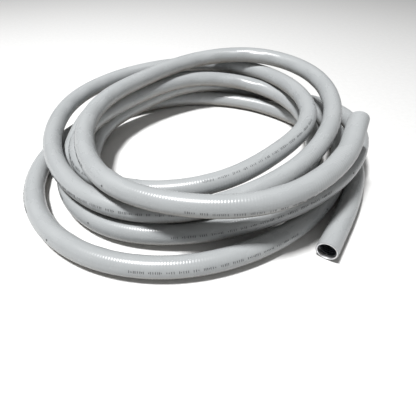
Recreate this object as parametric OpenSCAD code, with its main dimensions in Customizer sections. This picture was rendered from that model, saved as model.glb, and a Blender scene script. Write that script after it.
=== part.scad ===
// A length of jacketed flexible hose laid down in a loose coil of about six turns.
// A smooth plastic jacket is extruded over a core of interlocked steel strip; both ends are cut square.

/* [Hose] */
// Outside diameter of the jacket
hose_d = 42; // [36:0.5:42]
// Clear bore through the steel core
bore_d = 35; // [30:0.5:36]
// Share of the wall that is plastic jacket, the rest being the steel core
jacket_share = 0.5; // [0.3:0.05:0.7]

/* [Cut ends] */
// Length of the straight stretch at each cut end
end_len = 60; // [60:5:80]
// Direction in which the outer end points, in degrees from +X
outer_end_heading = -124; // [-130:1:-115]
// Direction in which the upper end points, in degrees from +X
upper_end_heading = 64; // [60:1:70]
// Angle at which the upper end rises from the level, in degrees
upper_end_rise = 14; // [10:1:20]

/* [Coil] */
// Widens the coil about its centre; the cut ends stay in place
coil_spread = 1; // [1:0.01:1.1]

/* [Hidden] */
// Sides of the swept tube, with flats above, below and at both sides
sides = 12;
// The route is laid out for this hose diameter, and its heights follow hose_d
laid_d = 42;
layer = hose_d / laid_d;
outer_r = hose_d / 2;
bore_r = bore_d / 2;
core_r = outer_r - (outer_r - bore_r) * jacket_share;
// A cutter passes this far beyond the ends that it opens
cut = 1;
// Smoothness of the round ends
round_facets = 96;

jacket_colour = [0.78, 0.79, 0.79];
core_colour = [0.62, 0.63, 0.65];

// Middle of the coil, in whole millimetres that put the middle of its outline over the origin.
// The reach and the height of each turn are set at every hour of a twelve-hour dial, and the hose runs
// clockwise from the upper end
coil_x = -32;
coil_y = -39;
hour = -30;

// Middle of each mouth
upper_mouth = [330, -120, 160 * layer];
outer_mouth = [235, -355, outer_r];

// Reach from the middle of the coil, hours 1 to 12 of each turn; hour 3 is the front and hour 9 the back.
// The upper end takes the place of the first turn's first hour.
turn_reach = [
    [     355, 295, 275, 245, 245, 255, 260, 345, 415, 420, 360],
    [300, 260, 265, 290, 305, 350, 415, 415, 420, 410, 365, 305],
    [230, 210, 210, 230, 265, 280, 265, 260, 320, 385, 370, 335],
    [295, 265, 245, 235, 240, 260, 285, 280, 355, 435, 495, 445],
    [375, 310, 285, 310, 315, 305, 335, 395, 460, 435, 410, 400],
    [365, 350, 365, 385, 390, 375, 355, 330, 345, 365, 385, 435]
];
// Height of the hose's middle: 21 lies on the floor, 63 on one hose and 105 on two
turn_height = [
    [     125, 110, 110, 105, 110, 120, 130, 145, 160, 150, 130],
    [100,  75,  63,  63,  65,  65,  80, 100, 110, 115, 110, 110],
    [100,  85,  75,  65,  60,  70,  75,  90, 100,  75,  70,  40],
    [ 21,  21,  21,  21,  21,  21,  35,  50,  75,  21,  45,  80],
    [ 75,  50,  25,  21,  21,  30,  70,  55,  70,  80,  70,  60],
    [ 21,  21,  21,  21,  21,  21,  21,  21,  21,  21,  21,  21]
];
// One more point between the last turn and the outer end
last_clock = -20;
last_reach = 405;

function heading(angle, rise = 0) = [cos(rise) * cos(angle), cos(rise) * sin(angle), sin(rise)];
function on_dial(angle, reach, height) =
    [coil_x, coil_y, 0] + coil_spread * reach * heading(angle) + [0, 0, height * layer];

upper_ahead = heading(upper_end_heading, upper_end_rise);
outer_ahead = heading(outer_end_heading);
upper_root = upper_mouth - end_len * upper_ahead;
outer_root = outer_mouth - end_len * outer_ahead;

// Route of the hose: three points in line hold each straight end, and the dial gives all the others
route = concat(
    [for (k = [1, 0, -1]) upper_root + k * end_len * upper_ahead],
    [for (turn = [0 : len(turn_reach) - 1])
        let (row = turn_reach[turn], late = turn == 0 ? 2 : 1)
        for (i = [0 : len(row) - 1]) on_dial(hour * (i + late), row[i], turn_height[turn][i])],
    [on_dial(last_clock, last_reach, laid_d / 2)],
    [for (k = [-1, 0, 1]) outer_root + k * end_len * outer_ahead]
);

// Middle and direction of the smooth hose beside each point of the route (a uniform cubic B-spline)
function middle(i) = (route[i - 1] + 4 * route[i] + route[i + 1]) / 6;
function along(i) = let (d = route[i + 1] - route[i - 1]) d / norm(d);
function across(i) = let (s = cross(along(i), [0, 0, 1])) s / norm(s);
function ring(i, r) =
    [for (k = [0 : sides - 1]) let (a = (k + 0.5) * 360 / sides)
        middle(i) + r / cos(180 / sides) * (cos(a) * across(i) + sin(a) * cross(across(i), along(i)))];

// First and last ring of each turn's stretch; neighbours share a ring, where they meet face to face
last_ring = len(route) - 2;
stretch_ends = [1, 13, 25, 37, 49, 61, last_ring];

// A hollow many-sided tube along the route from ring first to ring last
module swept_tube(first, last, r_out, r_in) {
    rings = last - first + 1;
    points = concat(
        [for (i = [first : last]) each ring(i, r_out)],
        [for (i = [first : last]) each ring(i, r_in)]
    );
    inner = rings * sides;
    end = (rings - 1) * sides;
    faces = [
        for (k = [0 : sides - 1])
            let (n = (k + 1) % sides)
            each concat(
                [for (i = [0 : rings - 2]) let (a = i * sides)
                    each [
                        [a + k, a + n, a + sides + n],
                        [a + k, a + sides + n, a + sides + k],
                        [inner + a + k, inner + a + sides + n, inner + a + n],
                        [inner + a + k, inner + a + sides + k, inner + a + sides + n]
                    ]],
                [
                    [k, inner + n, n],
                    [k, inner + k, inner + n],
                    [end + k, end + n, inner + end + n],
                    [end + k, inner + end + n, inner + end + k]
                ]
            )
    ];
    polyhedron(points = points, faces = faces);
}

// A straight round tube that ends at a mouth, pointing along the angle and rising from the level
module straight_tube(mouth, angle, rise, r_out, r_in) {
    translate(mouth)
        rotate([0, 90 - rise, angle])
            translate([0, 0, -end_len])
                difference() {
                    cylinder(h = end_len, r = r_out, $fn = round_facets);
                    translate([0, 0, -cut])
                        cylinder(h = end_len + 2 * cut, r = r_in, $fn = round_facets);
                }
}

module jacket_turn(turn) {
    color(jacket_colour)
        swept_tube(stretch_ends[turn - 1], stretch_ends[turn], outer_r, core_r);
}

module core_turn(turn) {
    color(core_colour)
        swept_tube(stretch_ends[turn - 1], stretch_ends[turn], core_r, bore_r);
}

module jacket_end(mouth, angle, rise) {
    color(jacket_colour)
        straight_tube(mouth, angle, rise, outer_r, core_r);
}

module core_end(mouth, angle, rise) {
    color(core_colour)
        straight_tube(mouth, angle, rise, core_r, bore_r);
}

module jacket_upper_end() {
    jacket_end(upper_mouth, upper_end_heading, upper_end_rise);
}

module jacket_outer_end() {
    jacket_end(outer_mouth, outer_end_heading, 0);
}

module core_upper_end() {
    core_end(upper_mouth, upper_end_heading, upper_end_rise);
}

module core_outer_end() {
    core_end(outer_mouth, outer_end_heading, 0);
}

jacket_upper_end();
jacket_turn(1);  // jacket_turn_1
jacket_turn(2);  // jacket_turn_2
jacket_turn(3);  // jacket_turn_3
jacket_turn(4);  // jacket_turn_4
jacket_turn(5);  // jacket_turn_5
jacket_turn(6);  // jacket_turn_6
jacket_outer_end();
core_upper_end();
core_turn(1);  // core_turn_1
core_turn(2);  // core_turn_2
core_turn(3);  // core_turn_3
core_turn(4);  // core_turn_4
core_turn(5);  // core_turn_5
core_turn(6);  // core_turn_6
core_outer_end();
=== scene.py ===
"""A length of jacketed flexible hose in a loose coil: a ribbed vinyl jacket over a wound steel core."""

import math

import bpy
import numpy as np
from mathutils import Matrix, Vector


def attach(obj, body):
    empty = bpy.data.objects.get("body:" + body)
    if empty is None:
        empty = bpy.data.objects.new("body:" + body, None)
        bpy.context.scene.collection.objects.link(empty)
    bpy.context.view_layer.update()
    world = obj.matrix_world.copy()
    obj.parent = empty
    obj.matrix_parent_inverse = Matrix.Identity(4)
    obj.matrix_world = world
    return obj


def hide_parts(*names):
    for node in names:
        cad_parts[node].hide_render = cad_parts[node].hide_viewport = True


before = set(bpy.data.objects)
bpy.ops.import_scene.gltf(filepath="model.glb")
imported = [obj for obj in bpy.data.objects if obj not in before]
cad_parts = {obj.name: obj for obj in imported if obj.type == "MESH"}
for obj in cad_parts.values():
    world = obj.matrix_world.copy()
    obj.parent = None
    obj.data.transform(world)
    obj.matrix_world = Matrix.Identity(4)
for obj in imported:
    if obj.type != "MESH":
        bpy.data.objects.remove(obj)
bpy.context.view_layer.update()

# ---------------------------------------------------------------- sizes, in metres
MM = 0.001
JACKET_R = 21 * MM
CORE_R = 19.25 * MM
BORE_R = 17.5 * MM
END_LEN = 60 * MM
RIB_PITCH = 5.2 * MM

# ---------------------------------------------------------------- route, as in the CAD model
# One control point for each hour of a twelve-hour dial: its reach from the coil's middle and its height,
# in mm; angles are in degrees.
COIL = np.array([-32, -39, 0]) * MM
HOUR = -30
UPPER_MOUTH = np.array([330, -120, 160]) * MM
UPPER_HEADING = 64
UPPER_RISE = 14
OUTER_MOUTH = np.array([235, -355, 21]) * MM
OUTER_HEADING = -124
# one more point between the last turn and the outer end
LAST_CLOCK = -20
LAST_REACH = 405
LAST_HEIGHT = 21

TURN_REACH = [
    [355, 295, 275, 245, 245, 255, 260, 345, 415, 420, 360],
    [300, 260, 265, 290, 305, 350, 415, 415, 420, 410, 365, 305],
    [230, 210, 210, 230, 265, 280, 265, 260, 320, 385, 370, 335],
    [295, 265, 245, 235, 240, 260, 285, 280, 355, 435, 495, 445],
    [375, 310, 285, 310, 315, 305, 335, 395, 460, 435, 410, 400],
    [365, 350, 365, 385, 390, 375, 355, 330, 345, 365, 385, 435],
]
TURN_HEIGHT = [
    [125, 110, 110, 105, 110, 120, 130, 145, 160, 150, 130],
    [100, 75, 63, 63, 65, 65, 80, 100, 110, 115, 110, 110],
    [100, 85, 75, 65, 60, 70, 75, 90, 100, 75, 70, 40],
    [21, 21, 21, 21, 21, 21, 35, 50, 75, 21, 45, 80],
    [75, 50, 25, 21, 21, 30, 70, 55, 70, 80, 70, 60],
    [21, 21, 21, 21, 21, 21, 21, 21, 21, 21, 21, 21],
]


def heading(degrees, rise=0):
    """The unit vector at an angle from +X that rises from the level, both in degrees."""
    angle, rise = math.radians(degrees), math.radians(rise)
    return np.array([math.cos(rise) * math.cos(angle), math.cos(rise) * math.sin(angle), math.sin(rise)])


def on_dial(angle, reach, height):
    """A route point at a clock angle, reach and height about the coil's middle."""
    return COIL + reach * MM * heading(angle) + np.array([0, 0, height * MM])


def route_points():
    """The control points: three in line at each straight end, and one for each hour between."""
    upper_ahead = heading(UPPER_HEADING, UPPER_RISE)
    outer_ahead = heading(OUTER_HEADING)
    points = [UPPER_MOUTH - k * END_LEN * upper_ahead for k in (0, 1, 2)]
    for turn, (reaches, heights) in enumerate(zip(TURN_REACH, TURN_HEIGHT)):
        # the upper end takes the place of the first turn's first hour
        late = 2 if turn == 0 else 1
        points += [on_dial(HOUR * (i + late), r, h) for i, (r, h) in enumerate(zip(reaches, heights))]
    points.append(on_dial(LAST_CLOCK, LAST_REACH, LAST_HEIGHT))
    points += [OUTER_MOUTH - k * END_LEN * outer_ahead for k in (2, 1, 0)]
    return np.array(points)


class Centreline:
    """The hose's middle, by distance from the upper mouth: straight ends and a cubic B-spline between."""

    # samples to each span of the curve
    STEPS = 60

    def __init__(self):
        self.route = route_points()
        self.spans = len(self.route) - 3
        knots = np.linspace(0, self.spans, self.spans * self.STEPS + 1)
        points = self.spline(knots)[0]
        steps = np.linalg.norm(np.diff(points, axis=0), axis=1)
        self.knots = knots
        self.marks = END_LEN + np.concatenate([[0], np.cumsum(steps)])
        self.length = self.marks[-1] + END_LEN

    def spline(self, t):
        """Points and directions of the uniform cubic B-spline at parameters t."""
        i = np.clip(np.floor(t).astype(int), 0, self.spans - 1)
        u = (t - i)[:, None]
        a, b, c, d = (self.route[i + k] for k in range(4))
        point = ((1 - u) ** 3 * a + (3 * u ** 3 - 6 * u ** 2 + 4) * b
                 + (-3 * u ** 3 + 3 * u ** 2 + 3 * u + 1) * c + u ** 3 * d) / 6
        slope = (-(1 - u) ** 2 * a + (3 * u ** 2 - 4 * u) * b
                 + (-3 * u ** 2 + 2 * u + 1) * c + u ** 2 * d) / 2
        return point, slope / np.linalg.norm(slope, axis=1)[:, None]

    def at(self, distance):
        """Middle, sideways and upward directions at each distance along the hose."""
        t = np.interp(distance, self.marks, self.knots)
        point, ahead = self.spline(t)
        before = np.minimum(distance - END_LEN, 0)[:, None]
        beyond = np.maximum(distance - self.marks[-1], 0)[:, None]
        point = point + (before + beyond) * ahead
        side = np.cross(ahead, [0, 0, 1])
        side /= np.linalg.norm(side, axis=1)[:, None]
        return point, side, np.cross(side, ahead)


line = Centreline()


# ---------------------------------------------------------------- camera
CAMERA_AT = (0.018, -0.694, 0.459)
# degrees up from looking straight down
CAMERA_TILT = 46
SENSOR_MM = 36
LENS_MM = 25.96


def make_camera():
    """The photograph's viewpoint: close to the coil, looking down at it with a wide lens."""
    data = bpy.data.cameras.new("camera")
    data.sensor_width = SENSOR_MM
    data.lens = LENS_MM
    camera = bpy.data.objects.new("camera", data)
    camera.location = CAMERA_AT
    camera.rotation_euler = (math.radians(CAMERA_TILT), 0, 0)
    bpy.context.collection.objects.link(camera)
    bpy.context.scene.camera = camera


make_camera()


# ---------------------------------------------------------------- meshes
# edges that turn more than this are shaded sharp, in degrees
SHARP_ANGLE = 35
# room between the flat rings at a mouth and the first row
ROW_CLEARANCE = 1.5 * MM


def add_mesh(name, verts, faces, coords):
    """A smooth mesh object; coords is each vertex's place on the straightened hose."""
    mesh = bpy.data.meshes.new(name)
    mesh.from_pydata(verts.tolist(), [], faces)
    mesh.attributes.new("straight", "FLOAT_VECTOR", "POINT").data.foreach_set("vector", coords.ravel())
    mesh.shade_smooth()
    mesh.set_sharp_from_angle(angle=math.radians(SHARP_ANGLE))
    mesh.update()
    obj = bpy.data.objects.new(name, mesh)
    bpy.context.collection.objects.link(obj)
    return obj


def place(distance, angle, radius):
    """World points, and points on the straightened hose, at a distance, angle and radius."""
    point, side, up = line.at(distance)
    across = (radius * np.cos(angle))[:, None]
    above = (radius * np.sin(angle))[:, None]
    coords = np.column_stack([distance, across, above])
    return point + across * side + above * up, coords


class Skin:
    """One surface of a tube: rows that wind round it as helices, between flat rings at both ends.

    Row j starts at distance starts[j] and meets row j + lead after one trip round. The rings are
    (distance from the end, radius) pairs, the outermost first, and are the same at both ends.
    """

    def __init__(self, sides, lead, starts, radii, rings):
        self.sides, self.lead, self.rows, self.rings = sides, lead, len(starts) - lead, len(rings)
        angle = np.arange(sides) * 2 * math.pi / sides
        share = np.arange(sides) / sides
        climb = starts[lead:] - starts[:-lead]
        swell = radii[lead:] - radii[:-lead]
        distance = [(starts[:-lead, None] + climb[:, None] * share).ravel()]
        radius = [(radii[:-lead, None] + swell[:, None] * share).ravel()]
        for far in (False, True):
            for inset, ring_radius in rings:
                distance.append(np.full(sides, line.length - inset if far else inset))
                radius.append(np.full(sides, ring_radius))
        angles = np.tile(angle, self.rows + 2 * self.rings)
        self.verts, self.coords = place(np.concatenate(distance), angles, np.concatenate(radius))

    def row(self, j, k):
        """Vertex k of row j."""
        return j * self.sides + k

    def ring(self, far, i, k):
        """Vertex k of flat ring i at the near or far end; ring 0 is the mouth's edge."""
        return (self.rows + (self.rings if far else 0) + i) * self.sides + k % self.sides

    def faces(self):
        """Faces that look outwards."""
        n, lead, last = self.sides, self.lead, self.rows - 1
        row, ring = self.row, self.ring
        faces = [(row(j, k), row(j + 1, k), row(j + 1, k + 1), row(j, k + 1))
                 for j in range(last) for k in range(n - 1)]
        faces += [(row(j, n - 1), row(j + 1, n - 1), row(j + 1 + lead, 0), row(j + lead, 0))
                  for j in range(last - lead)]
        for i in range(self.rings - 1):
            for k in range(n):
                faces.append((ring(False, i, k), ring(False, i + 1, k),
                              ring(False, i + 1, k + 1), ring(False, i, k + 1)))
                faces.append((ring(True, i + 1, k), ring(True, i, k),
                              ring(True, i, k + 1), ring(True, i + 1, k + 1)))
        near = [ring(False, self.rings - 1, k) for k in range(n)]
        far = [ring(True, self.rings - 1, k) for k in range(n)]
        faces += [(near[k], row(0, k), row(0, k + 1), near[k + 1]) for k in range(n - 1)]
        faces += [(row(last, k), far[k], far[k + 1], row(last, k + 1)) for k in range(n - 1)]
        # the step that the winding leaves at each end
        tip = row(0, n - 1)
        faces += [(tip, row(j + 1, 0), row(j, 0)) for j in range(lead)]
        faces += [(tip, row(0, 0), near[0]), (tip, near[0], near[n - 1])]
        tip = row(last, 0)
        faces += [(tip, row(last - j, n - 1), row(last - j + 1, n - 1)) for j in range(lead, 0, -1)]
        faces += [(tip, row(last, n - 1), far[n - 1]), (tip, far[n - 1], far[0])]
        return faces


def tube(name, outer, inner):
    """A closed tube between two skins with the same number of sides."""
    shift = len(outer.verts)
    faces = outer.faces() + [tuple(v + shift for v in face[::-1]) for face in inner.faces()]
    for far in (False, True):
        for k in range(outer.sides):
            a, b = outer.ring(far, 0, k), outer.ring(far, 0, k + 1)
            c, d = inner.ring(far, 0, k + 1) + shift, inner.ring(far, 0, k) + shift
            faces.append((d, c, b, a) if far else (a, b, c, d))
    verts = np.concatenate([outer.verts, inner.verts])
    coords = np.concatenate([outer.coords, inner.coords])
    return add_mesh(name, verts, faces, coords)


def plain_starts(spacing, lead):
    """Row starts along the hose at a spacing, clear of the flat rings."""
    count = round((line.length - 2 * ROW_CLEARANCE) / spacing)
    return np.linspace(ROW_CLEARANCE, line.length - ROW_CLEARANCE, count - count % lead)


# ---------------------------------------------------------------- jacket
JACKET_SIDES = 18
RIB_ROWS = 3
RIB_DEPTH = 0.4 * MM
GROOVE_DEPTH = 0.75 * RIB_DEPTH
CUT_ROUND = 0.4 * MM
# the jacket's hidden lining has few rows
LINING_STEP = 80 * MM


def make_jacket():
    """The vinyl jacket: its ribs wind round it, one crest and one wide shallow groove to a pitch."""
    starts = plain_starts(RIB_PITCH / RIB_ROWS, RIB_ROWS)
    crest = np.arange(len(starts)) % RIB_ROWS == 0
    radii = np.where(crest, JACKET_R, JACKET_R - GROOVE_DEPTH)
    edge = [(0, JACKET_R - RIB_DEPTH - CUT_ROUND), (CUT_ROUND, JACKET_R - RIB_DEPTH / 2)]
    outer = Skin(JACKET_SIDES, RIB_ROWS, starts, radii, edge)
    lining = plain_starts(LINING_STEP, 1)
    inner = Skin(JACKET_SIDES, 1, lining, np.full(len(lining), CORE_R), [(0, CORE_R)])
    return tube("jacket", outer, inner)


# ---------------------------------------------------------------- core
CORE_SIDES = 28
WIND_ROWS = 8
WIND_DEPTH = 0.9 * MM
# the winding is fine for this far from each mouth, and then fades out over a share of that length
WIND_FINE = 200 * MM
WIND_FADE = 0.3
# the first row's distance from the mouth; past the fine stretch the rows grow apart, up to the widest
FIRST_ROW = 1.2 * MM
ROW_GROWTH = 1.04
WIDEST_ROW = 12 * MM
# the flattened stretch at each mouth, where no winding shows
LIP = 4.5 * MM
# the folded strip over one pitch, from land (0) to groove (1)
WIND_SHAPE = np.array([0, 0, 0, 0.25, 1, 1, 0.9, 0.2])
# the edge of the bore is broken by a small chamfer
CHAMFER = [(0, BORE_R + 0.2 * MM), (0.5 * MM, BORE_R)]
# the core's hidden back, just clear of the lining
BACK_R = CORE_R - 0.1 * MM
BACK_STEP = 30 * MM


def graded_starts():
    """Row starts that are close together near both mouths and far apart between them."""
    fine = RIB_PITCH / WIND_ROWS
    near = [FIRST_ROW]
    step = fine
    while near[-1] < line.length / 2:
        if near[-1] > WIND_FINE:
            step = min(step * ROW_GROWTH, WIDEST_ROW)
        near.append(near[-1] + step)
    near = np.array(near[:-1])
    return np.concatenate([near, (line.length - near)[::-1]])


def make_core():
    """The steel core: strip wound and folded into ridges, modelled finely where a mouth shows it."""
    starts = graded_starts()
    reach = np.minimum(starts, line.length - starts)
    fade_in = np.clip(reach / LIP - 1, 0, 1)
    fade_out = np.clip((WIND_FINE * (1 + WIND_FADE) - reach) / (WIND_FINE * WIND_FADE), 0, 1)
    shape = WIND_SHAPE[np.arange(len(starts)) % WIND_ROWS]
    radii = BORE_R + WIND_DEPTH * shape * fade_out * fade_in
    inner = Skin(CORE_SIDES, WIND_ROWS, starts, radii, CHAMFER)
    back = plain_starts(BACK_STEP, 1)
    outer = Skin(CORE_SIDES, 1, back, np.full(len(back), BACK_R), [(0, BACK_R)])
    return tube("steel_core", outer, inner)


# ---------------------------------------------------------------- printed ticks
# A row of plain ticks and then a dot, again and again; the repeat is a little longer past 8.4 m.
FIRST_DOTS = np.arange(605, 8400, 555) * MM
LATER_DOTS = np.arange(8950, 12300, 575) * MM
ROW_BEFORE_DOT = 480 * MM
ROW_LENGTH = 315 * MM
DOT_R = 2.1 * MM
DOT_SIDES = 12
PRINT_SEED = 7
# ticks stand in groups; their heights and steps are drawn from these, in mm
FEWEST_TICKS = 3
MOST_TICKS = 8
TICK_HEIGHTS = (4.6, 4.6, 2.6)
TICK_STEPS = (2.8, 3.9)
TICK_HALF = 0.55 * MM
GROUP_GAP = 6 * MM
# the ink's slabs reach this far into the jacket and stand this far above its crests
INK_SUNK = 0.6 * MM
INK_PROUD = 0.05 * MM
# (metres from the upper mouth, degrees round the hose): the line of print drifts round it
PRINT_ANGLES = ((0.15, 205), (0.27, 190), (0.42, 175), (0.6, 160), (1.7, 170), (2.1, 180), (2.4, 150),
                (2.65, 170), (3.95, 120), (4.1, 125), (4.35, 120), (4.65, 150), (12.5, 155))


def print_angle(distance):
    """Where the line of print stands round the hose: 0 is the coil's inner side and 90 the top."""
    marks, angles = zip(*PRINT_ANGLES)
    return math.radians(np.interp(distance, marks, angles))


def tick_outline(at, tall):
    """The four corners of a tick, as (distance, distance round the jacket) from the line of print."""
    low, high = -tall / 2, tall / 2
    return [(at - TICK_HALF, low), (at + TICK_HALF, low), (at + TICK_HALF, high), (at - TICK_HALF, high)]


def dot_outline(at):
    """A small disc on the line of print."""
    turns = [2 * math.pi * k / DOT_SIDES for k in range(DOT_SIDES)]
    return [(at + DOT_R * math.cos(a), DOT_R * math.sin(a)) for a in turns]


def mark_outlines():
    """The outline of every tick and dot: groups of ticks up to a row's end, and then its dot."""
    rng = np.random.default_rng(PRINT_SEED)
    outlines = []
    for dot in np.concatenate([FIRST_DOTS, LATER_DOTS]):
        at = dot - ROW_BEFORE_DOT
        while at < dot - ROW_BEFORE_DOT + ROW_LENGTH:
            for _ in range(rng.integers(FEWEST_TICKS, MOST_TICKS + 1)):
                outlines.append(tick_outline(at, rng.choice(TICK_HEIGHTS) * MM))
                at += rng.choice(TICK_STEPS) * MM
            at += GROUP_GAP
        outlines.append(dot_outline(dot))
    return outlines


def make_marks():
    """Thin slabs of ink, let into the jacket and standing just proud of its ribs."""
    distance, angle, radius, faces = [], [], [], []
    for outline in mark_outlines():
        first, n = len(distance), len(outline)
        for r in (JACKET_R - INK_SUNK, JACKET_R + INK_PROUD):
            for at, off in outline:
                distance.append(at)
                angle.append(print_angle(at) + off / JACKET_R)
                radius.append(r)
        faces.append(tuple(first + k for k in range(n)))
        faces.append(tuple(first + n + k for k in reversed(range(n))))
        faces += [(first + (k + 1) % n, first + k, first + n + k, first + n + (k + 1) % n)
                  for k in range(n)]
    verts, coords = place(np.array(distance), np.array(angle), np.array(radius))
    return add_mesh("printed_ticks", verts, faces, coords)


# ---------------------------------------------------------------- materials
class Nodes:
    """A small helper to build a material's node tree."""

    def __init__(self, name):
        self.material = bpy.data.materials.new(name)
        self.material.use_nodes = True
        self.tree = self.material.node_tree
        self.shader = self.tree.nodes["Principled BSDF"]

    def add(self, kind, inputs=None, **settings):
        """A node with its settings; each input is a constant or another node's output."""
        node = self.tree.nodes.new(kind)
        for key, value in settings.items():
            setattr(node, key, value)
        for key, value in (inputs or {}).items():
            self.feed(node.inputs[key], value)
        return node

    def feed(self, socket, value):
        """Set a socket to a constant, or link another node's output to it."""
        if isinstance(value, bpy.types.NodeSocket):
            self.tree.links.new(value, socket)
        else:
            socket.default_value = value

    def straight(self, scale):
        """Coordinates of the straightened hose, scaled along, across and above."""
        source = self.add("ShaderNodeAttribute", attribute_name="straight")
        return self.add("ShaderNodeVectorMath", {0: source.outputs["Vector"], 1: scale},
                        operation="MULTIPLY").outputs[0]

    def noise(self, vector, scale, detail=4, roughness=0.55):
        """A cloud of values about one half."""
        node = self.add("ShaderNodeTexNoise", {"Vector": vector, "Scale": scale, "Detail": detail,
                                               "Roughness": roughness})
        return node.outputs["Fac"]

    def ramp(self, value, low, high, to_low=0.0, to_high=1.0):
        """Value moved from low..high to to_low..to_high, and clamped there."""
        node = self.add("ShaderNodeMapRange", {"Value": value, "From Min": low, "From Max": high,
                                               "To Min": to_low, "To Max": to_high})
        return node.outputs["Result"]

    def mix(self, share, one, other):
        """A blend of two colours: all of one at share 0, and all of the other at 1."""
        node = self.add("ShaderNodeMix", data_type="RGBA")
        for socket, value in zip((node.inputs[0], node.inputs[6], node.inputs[7]), (share, one, other)):
            self.feed(socket, value)
        return node.outputs[2]

    def math(self, operation, one, other):
        """Arithmetic on two values."""
        return self.add("ShaderNodeMath", {0: one, 1: other}, operation=operation).outputs[0]

    def bump(self, height, strength, distance):
        """Give the shader a fine relief from a height."""
        node = self.add("ShaderNodeBump", {"Height": height, "Strength": strength, "Distance": distance})
        self.tree.links.new(node.outputs["Normal"], self.shader.inputs["Normal"])


def rgb(red, green, blue):
    """An opaque colour."""
    return (red, green, blue, 1.0)


def jacket_material():
    """Light grey vinyl: a soft shine, faint mottling, and painted brownish shade on its underside, broken
    up by dust.
    """
    m = Nodes("grey_vinyl")
    mottle = m.noise(m.straight((14, 40, 40)), 1.0)
    dust_and_shade_noise = m.noise(m.straight((6, 25, 25)), 1.0, 6, 0.7)
    up = m.add("ShaderNodeSeparateXYZ", {0: m.add("ShaderNodeNewGeometry").outputs["Normal"]}).outputs["Z"]
    colour = m.mix(m.ramp(mottle, 0.3, 0.7), rgb(0.355, 0.37, 0.377), rgb(0.395, 0.41, 0.416))
    # painted shade: faces that look down are darkened to brown, standing in for the underside's shade and
    # warm floor bounce, made patchy by dust
    underside_dust_and_shade = m.math("MULTIPLY", m.ramp(up, 0.1, -0.6), m.ramp(dust_and_shade_noise, 0.35, 0.7, 0.45, 0.9))
    colour = m.mix(underside_dust_and_shade, colour, rgb(0.215, 0.185, 0.15))
    m.feed(m.shader.inputs["Base Color"], colour)
    m.feed(m.shader.inputs["Roughness"], m.ramp(mottle, 0.3, 0.7, 0.25, 0.30))
    m.shader.inputs["IOR"].default_value = 1.53
    m.bump(m.noise(m.straight((420, 420, 420)), 1.0, 2), 0.10, 0.0006)
    return m.material


def steel_material():
    """Galvanised strip: a bright spangle with cloudy rust tints, and painted shade that darkens the bore
    away from the mouths.
    """
    m = Nodes("galvanised_strip")
    spangle = m.noise(m.straight((160, 160, 160)), 1.0, 3)
    cloud = m.noise(m.straight((50, 90, 90)), 1.0, 5)
    colour = m.mix(m.ramp(spangle, 0.3, 0.7), rgb(0.74, 0.75, 0.77), rgb(0.90, 0.90, 0.91))
    colour = m.mix(m.ramp(cloud, 0.58, 0.74, 0, 0.75), colour, rgb(0.34, 0.25, 0.17))
    distance = m.add("ShaderNodeSeparateXYZ", {0: m.straight((1, 1, 1))}).outputs["X"]
    depth = m.math("MINIMUM", distance, m.math("SUBTRACT", line.length, distance))
    # painted shade: the bore turns near black from 5 to 13 mm inside each mouth, standing in for the shade
    # deep inside the hose
    colour = m.mix(m.ramp(depth, 5 * MM, 13 * MM), colour, rgb(0.075, 0.08, 0.09))
    m.feed(m.shader.inputs["Base Color"], colour)
    m.shader.inputs["Metallic"].default_value = 1.0
    # duller where it is cut and where it is rusty
    worn = m.math("MAXIMUM", m.ramp(depth, 7 * MM, 4 * MM, 0.3, 0.45), m.ramp(cloud, 0.3, 0.7, 0.24, 0.5))
    m.feed(m.shader.inputs["Roughness"], worn)
    m.bump(spangle, 0.12, 0.0004)
    return m.material


def ink_material():
    """Faded grey printing ink."""
    m = Nodes("grey_ink")
    wear = m.noise(m.straight((220, 500, 500)), 1.0)
    colour = m.mix(m.ramp(wear, 0.35, 0.7), rgb(0.05, 0.052, 0.055), rgb(0.17, 0.175, 0.18))
    m.feed(m.shader.inputs["Base Color"], colour)
    m.shader.inputs["Roughness"].default_value = 0.5
    return m.material


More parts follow.
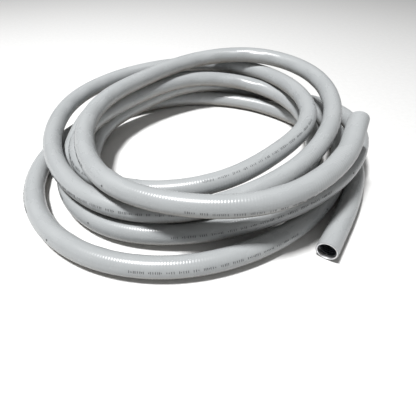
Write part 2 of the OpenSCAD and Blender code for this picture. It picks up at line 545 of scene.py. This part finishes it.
def floor_material():
    """A plain pale studio floor with the faintest grain."""
    m = Nodes("pale_floor")
    grain = m.noise(m.add("ShaderNodeTexCoord").outputs["Object"], 60.0, 3)
    colour = m.mix(m.ramp(grain, 0.3, 0.7), rgb(0.73, 0.73, 0.725), rgb(0.76, 0.76, 0.755))
    m.feed(m.shader.inputs["Base Color"], colour)
    m.shader.inputs["Roughness"].default_value = 0.8
    return m.material


# ---------------------------------------------------------------- the hose
jacket = make_jacket()
core = make_core()
ticks = make_marks()
for piece, material, slot in ((jacket, jacket_material(), "jacket"),
                              (core, steel_material(), "core"),
                              (ticks, ink_material(), "jacket")):
    piece.data.materials.append(material)
    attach(piece, "root")

STRETCHES = ["upper_end"] + [f"turn_{k}" for k in range(1, 7)] + ["outer_end"]
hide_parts(*[f"jacket_{stretch}" for stretch in STRETCHES])
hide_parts(*[f"core_{stretch}" for stretch in STRETCHES])

PATH_STEP = 20 * MM
path_points = line.at(np.linspace(0, line.length, round(line.length / PATH_STEP)))[0]
tuple(path_points[0])


# ---------------------------------------------------------------- floor and light
LIGHT_AIM = (0, 0, 0.05)


def make_floor(reach):
    """A flat square floor that runs this far each way from the origin."""
    corners = [(-reach, -reach, 0), (reach, -reach, 0), (reach, reach, 0), (-reach, reach, 0)]
    mesh = bpy.data.meshes.new("floor")
    mesh.from_pydata(corners, [], [(0, 1, 2, 3)])
    floor = bpy.data.objects.new("floor", mesh)
    bpy.context.collection.objects.link(floor)
    mesh.materials.append(floor_material())


def add_light(name, place_at, size, watts):
    """A square soft light at a place, turned towards the coil."""
    data = bpy.data.lights.new(name, "AREA")
    data.shape = "SQUARE"
    data.size = size
    data.energy = watts
    lamp = bpy.data.objects.new(name, data)
    lamp.location = place_at
    lamp.rotation_euler = (Vector(LIGHT_AIM) - Vector(place_at)).to_track_quat("-Z", "Y").to_euler()
    bpy.context.collection.objects.link(lamp)


def make_world(strength):
    """A plain white surrounding light."""
    world = bpy.data.worlds.new("studio")
    world.use_nodes = True
    background = world.node_tree.nodes["Background"]
    background.inputs["Color"].default_value = (1, 1, 1, 1)
    background.inputs["Strength"].default_value = strength
    bpy.context.scene.world = world


make_floor(reach=4.0)
add_light("key", (-0.9, -0.32, 3.5), size=0.5, watts=190)
add_light("fill", (1.4, -1.5, 1.3), size=1.6, watts=3)
make_world(strength=0.17)
bpy.context.scene.view_settings.view_transform = "Standard"
